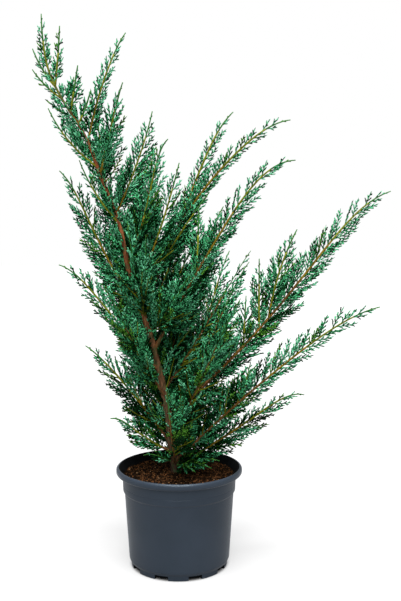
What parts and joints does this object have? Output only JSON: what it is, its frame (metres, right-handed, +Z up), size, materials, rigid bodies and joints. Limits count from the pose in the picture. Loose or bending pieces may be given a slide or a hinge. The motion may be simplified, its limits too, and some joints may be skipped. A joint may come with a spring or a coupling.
{
  "type": "potted common juniper",
  "caption": "Young juniper with a leaning trunk, sweeping boughs and blue-green scale foliage, growing in a round plastic nursery pot.",
  "frame": {"origin": "centre of the pot's flat underside", "axes": "+Z up, -Y towards the side that the picture shows, +X to that view's right"},
  "size_m": [0.6294, 0.4545, 0.9659],
  "materials": {
    "plastic_pot": "satin slate grey plastic, finely grained",
    "potting_soil": "matt crumbly brown potting soil",
    "bark": "matt red-brown flaking bark",
    "foliage": "matt blue-green scale leaves"
  },
  "bodies": {
    "root": {"bough_back_crown": "bark", "bough_back_high": "bark", "bough_back_left": "bark", "bough_back_low": "bark", "bough_back_right": "bark", "bough_back_tall": "bark", "bough_front_left": "bark", "bough_front_low": "bark", "bough_front_right": "bark", "bough_front_tall": "bark", "bough_left_bottom": "bark", "bough_left_high": "bark", "bough_left_low": "bark", "bough_left_mid": "bark", "bough_mid_right": "bark", "bough_right_bottom": "bark", "bough_right_fork": "bark", "bough_right_high": "bark", "bough_right_long": "bark", "bough_right_low": "bark", "bough_right_main": "bark", "foliage_back_crown": "foliage", "foliage_back_high": "foliage", "foliage_back_left": "foliage", "foliage_back_low": "foliage", "foliage_back_right": "foliage", "foliage_back_tall": "foliage", "foliage_crown_back": "foliage", "foliage_crown_front": "foliage", "foliage_crown_left": "foliage", "foliage_crown_mid": "foliage", "foliage_crown_right": "foliage", "foliage_front_high": "foliage", "foliage_front_left": "foliage", "foliage_front_low": "foliage", "foliage_front_reach": "foliage", "foliage_front_right": "foliage", "foliage_front_tall": "foliage", "foliage_leader": "foliage", "foliage_left_bottom": "foliage", "foliage_left_high": "foliage", "foliage_left_low": "foliage", "foliage_left_mid": "foliage", "foliage_mid_right": "foliage", "foliage_right_bottom": "foliage", "foliage_right_fork": "foliage", "foliage_right_high": "foliage", "foliage_right_inner": "foliage", "foliage_right_long": "foliage", "foliage_right_low": "foliage", "foliage_right_main": "foliage", "foliage_right_rise": "foliage", "foliage_spire_back": "foliage", "foliage_spire_front": "foliage", "foliage_spire_left": "foliage", "foliage_spire_right": "foliage", "foliage_spire_tip": "foliage", "pot": "plastic_pot", "soil": "potting_soil", "trunk": "bark"}
  },
  "joints": []
}
